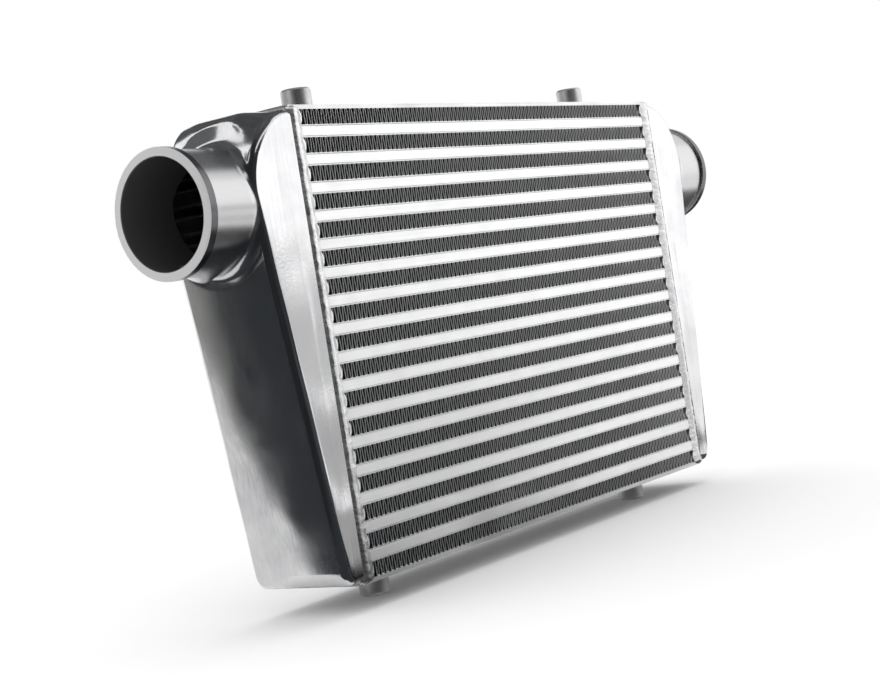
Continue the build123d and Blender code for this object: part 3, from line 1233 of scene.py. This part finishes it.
@dataclass
class Studio:
    """Camera, floor, lamp and the cards that the metal mirrors."""

    camera_mm: Point = (-1029.95, -735.84, 187.57)
    yaw_deg: float = 52.98
    pitch_deg: float = -1.47
    roll_deg: float = -8.995
    focal_px: float = 1731.1
    image_width_px: float = 880.0
    sensor_mm: float = 36.0
    floor_half: float = 40.0
    floor_colour: str = "#FDFDFD"
    world_light: float = 0.97
    world_seen: float = 1.0
    sun_strength: float = 0.5
    sun_width_deg: float = 50.0
    sun_travel: Point = (-0.15, -0.05, -1.0)

    def build(self) -> None:
        """Set up the whole studio."""
        bpy.context.scene.view_settings.view_transform = "Standard"
        self._camera()
        self._world()
        self._floor()
        self._lamp()
        self._cards()

    def _camera(self) -> None:
        """Place the camera as the photo's was placed."""
        yaw, pitch, roll = (math.radians(v) for v in (self.yaw_deg, self.pitch_deg, self.roll_deg))
        ahead = Vector((math.sin(yaw) * math.cos(pitch), math.cos(yaw) * math.cos(pitch), math.sin(pitch)))
        level = Vector((math.cos(yaw), -math.sin(yaw), 0.0))
        above = level.cross(ahead)
        right = level * math.cos(roll) + above * math.sin(roll)
        up = above * math.cos(roll) - level * math.sin(roll)
        data = bpy.data.cameras.new("photo_camera")
        data.sensor_width = self.sensor_mm
        data.sensor_fit = "HORIZONTAL"
        data.lens = self.focal_px / self.image_width_px * self.sensor_mm
        camera = bpy.data.objects.new("photo_camera", data)
        turn = Matrix((right, up, -ahead)).transposed().to_4x4()
        camera.matrix_world = Matrix.Translation(Vector(self.camera_mm) * MM) @ turn
        bpy.context.scene.collection.objects.link(camera)
        bpy.context.scene.camera = camera

    def _world(self) -> None:
        """White surroundings for the camera and for mirrored rays, softer for the rest."""
        world = bpy.data.worlds.new("white_surroundings")
        world.use_nodes = True
        tree = world.node_tree
        tree.nodes.clear()
        add = partial(add_node, tree)
        rays = add("ShaderNodeLightPath").outputs
        direct = add(MATH, rays["Is Camera Ray"], rays["Is Glossy Ray"], operation="MAXIMUM")
        seen = add(MATH, direct, rays["Is Transmission Ray"], operation="MAXIMUM")
        strength = add(MAP_RANGE, seen, 0.0, 1.0, self.world_light, self.world_seen)
        back = add("ShaderNodeBackground", Color=linear("#FFFFFF"), Strength=strength)
        add("ShaderNodeOutputWorld", Surface=back)
        bpy.context.scene.world = world

    def _floor(self) -> None:
        """Pale floor that takes the object's shadow and mirrors nothing."""
        material = bpy.data.materials.new("pale_floor")
        material.use_nodes = True
        sockets = material.node_tree.nodes["Principled BSDF"].inputs
        sockets["Base Color"].default_value = linear(self.floor_colour)
        sockets["Specular IOR Level"].default_value = 0.0
        half = self.floor_half
        corners = ((-half, -half, 0.0), (half, -half, 0.0), (half, half, 0.0), (-half, half, 0.0))
        self._panel("floor", corners, material)

    def _panel(self, name: str, corners: tuple[Point, ...], material: bpy.types.Material) -> bpy.types.Object:
        """Make a flat panel.

        Args:
            name: The panel's name.
            corners: Its corners, in order.
            material: Its material.

        Returns:
            The new panel.
        """
        mesh = bpy.data.meshes.new(name)
        mesh.from_pydata(corners, [], [range(len(corners))])
        mesh.materials.append(material)
        panel = bpy.data.objects.new(name, mesh)
        bpy.context.scene.collection.objects.link(panel)
        return panel

    def _lamp(self) -> None:
        """One broad soft sun, which lights the whole floor evenly."""
        data = bpy.data.lights.new("soft_sun", "SUN")
        data.energy = self.sun_strength
        data.angle = math.radians(self.sun_width_deg)
        lamp = bpy.data.objects.new("soft_sun", data)
        lamp.rotation_euler = Vector(self.sun_travel).to_track_quat("-Z", "Y").to_euler()
        bpy.context.scene.collection.objects.link(lamp)

    def _cards(self) -> None:
        """Set up the cards, which only mirrored rays see."""
        for card in CARDS:
            material = bpy.data.materials.new(card.name)
            material.use_nodes = True
            tree = material.node_tree
            tree.nodes.clear()
            glow = add_node(tree, "ShaderNodeEmission", Color=linear(card.colour), Strength=card.strength)
            add_node(tree, "ShaderNodeOutputMaterial", Surface=glow)
            panel = self._panel(card.name, card.corners, material)
            panel.visible_camera = False
            panel.visible_diffuse = False
            panel.visible_shadow = False
            panel.visible_transmission = False


def main() -> None:
    """Build the dressed intercooler in order."""
    logging.basicConfig(level=logging.INFO, format="%(message)s")
    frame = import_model()
    solids = Solids()
    solids.dress(frame)
    pieces = CastTanks().build(solids.materials["cast_tank"])
    pieces += CoolingFins().build(solids.materials["brazed_fin"])
    bead_tool = WeldBead.tool()
    pieces += SeamWelds().build(bead_tool, solids.materials["weld_bead"])
    pieces += BossWelds().build(bead_tool, solids.materials["weld_bead"])
    for piece in pieces:
        LOG.info("made %s with %d faces", piece.name, len(piece.data.polygons))
    Studio().build()
    bpy.context.view_layer.update()


if __name__ == "__main__":
    main()
